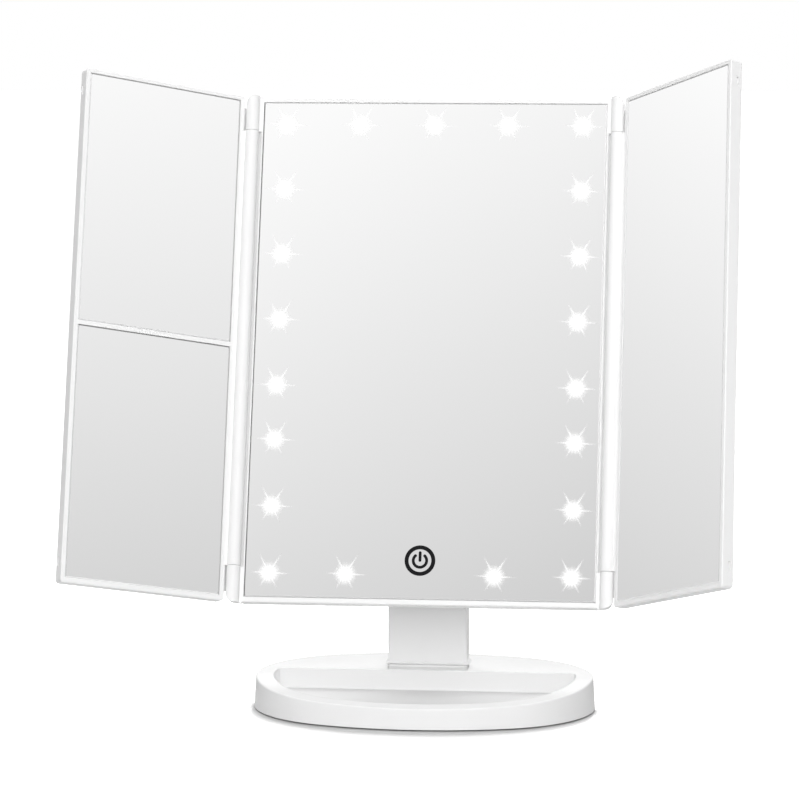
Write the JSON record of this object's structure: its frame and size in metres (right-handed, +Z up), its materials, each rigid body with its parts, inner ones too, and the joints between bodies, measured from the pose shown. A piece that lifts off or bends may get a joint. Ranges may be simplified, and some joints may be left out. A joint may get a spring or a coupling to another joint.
{
  "type": "trifold vanity mirror",
  "caption": "Lit trifold vanity mirror: a tilting centre mirror with folding side wings, on a slim stem over an oval tray base.",
  "frame": {"origin": "on the table under the middle of the oval base, at the height of the rubber pad's underside", "axes": "+X to the right of the person at the mirror, +Y away from the person, +Z up"},
  "size_m": [0.3075, 0.1535, 0.3048],
  "materials": {
    "white_plastic": "gloss",
    "white_underside": "fine texture",
    "rubber": "matt",
    "steel": "zinc plated",
    "plated_steel": "nickel plated",
    "nylon": "satin",
    "silvered_glass": "polished",
    "circuit_board": "white solder mask",
    "led": "clear moulded",
    "copper_foil": "satin",
    "cell_can": "plain sleeve"
  },
  "bodies": {
    "base": {"base_shell": "white_plastic", "base_bottom_plate": "white_underside", "non_slip_pad": "rubber", "base_screws": "steel", "stem_shell": "white_plastic", "stem_rear_cover": "white_plastic", "stem_screws": "steel"},
    "head": {"tilt_axle": "steel", "axle_nut": "steel", "friction_washers": "nylon", "centre_frame": "white_plastic", "centre_mirror": "silvered_glass", "hinge_pins": "steel", "lamp_board": "circuit_board", "lamps": "led", "touch_pad": "copper_foil", "control_board": "circuit_board", "charging_socket": "plated_steel", "back_cover": "white_plastic", "back_cover_screws": "steel", "battery_cells": "cell_can", "battery_contacts": "plated_steel", "battery_springs": "plated_steel"},
    "battery_door": {"battery_cover": "white_plastic"},
    "left_wing": {"left_wing_frame": "white_plastic", "left_wing_back_cover": "white_plastic", "left_upper_mirror": "silvered_glass", "left_lower_mirror": "silvered_glass"},
    "right_wing": {"right_wing_frame": "white_plastic", "right_wing_back_cover": "white_plastic", "right_mirror": "silvered_glass"}
  },
  "joints": [
    {"name": "head_tilt", "type": "hinge", "parent": "base", "child": "head", "pos_m": [0, 0.018, 0.1585], "axis": [-1, 0, 0], "range_deg": [-18, 72]},
    {"name": "left_wing_fold", "type": "hinge", "parent": "head", "child": "left_wing", "pos_m": [-0.0868, 0.00732, 0.16933], "axis": [0, 0.309, 0.9511], "range_deg": [-35, 145]},
    {"name": "right_wing_fold", "type": "hinge", "parent": "head", "child": "right_wing", "pos_m": [0.0868, 0.00732, 0.16933], "axis": [0, -0.309, -0.9511], "range_deg": [-52, 128]},
    {"name": "battery_door_hinge", "type": "hinge", "parent": "head", "child": "battery_door", "pos_m": [0, 0.03083, 0.1802], "axis": [-1, 0, 0], "range_deg": [0, 40]}
  ]
}
